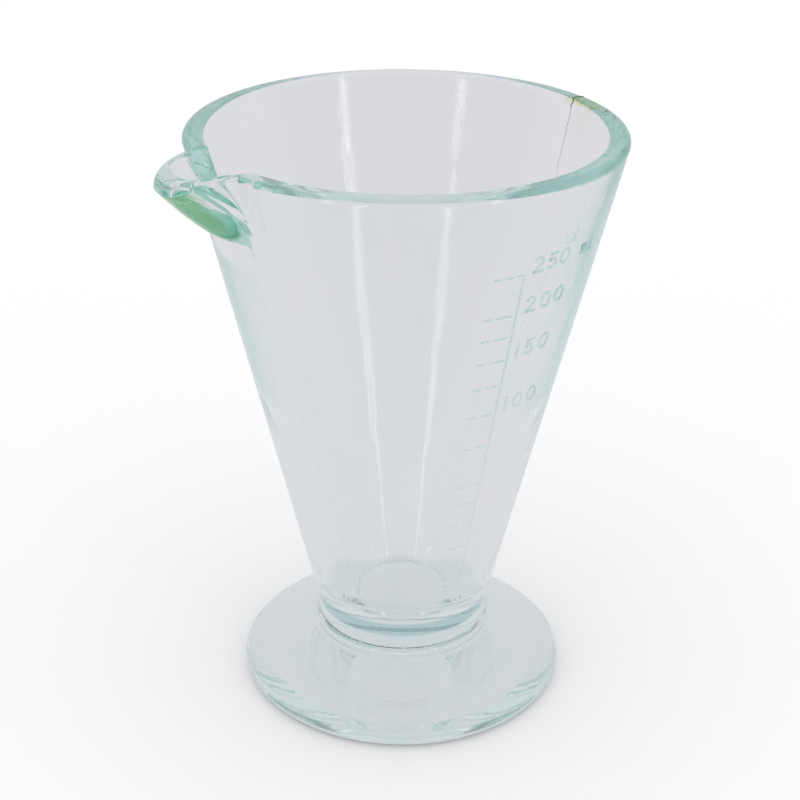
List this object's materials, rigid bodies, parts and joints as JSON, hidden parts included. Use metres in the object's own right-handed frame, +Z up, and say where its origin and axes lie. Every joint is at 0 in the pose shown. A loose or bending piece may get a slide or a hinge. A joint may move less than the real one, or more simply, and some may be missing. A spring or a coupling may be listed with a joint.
{
  "type": "conical glass graduate",
  "caption": "Thick tapered measuring glass with a pouring lip, a raised volume scale on its wall and a domed foot, for measuring and pouring liquids.",
  "frame": {"origin": "centre of the standing ring under the foot, on the table", "axes": "+Z up along the axis of the glass, -X towards the pouring lip, -Y towards the scale"},
  "size_m": [0.1146, 0.1032, 0.1462],
  "materials": {
    "bowl_glass": "polished pressed glass, pale blue-green",
    "foot_glass": "polished pressed glass, pale blue-green",
    "relief_glass": "raised relief in the same glass, seen darker at its edges"
  },
  "bodies": {
    "root": {"foot": "foot_glass", "merese": "foot_glass", "bowl": "bowl_glass", "scale_line": "relief_glass", "mark_10": "relief_glass", "mark_20": "relief_glass", "mark_30": "relief_glass", "mark_40": "relief_glass", "mark_50": "relief_glass", "mark_75": "relief_glass", "mark_100": "relief_glass", "mark_125": "relief_glass", "mark_150": "relief_glass", "mark_175": "relief_glass", "mark_200": "relief_glass", "mark_250": "relief_glass"}
  },
  "joints": []
}
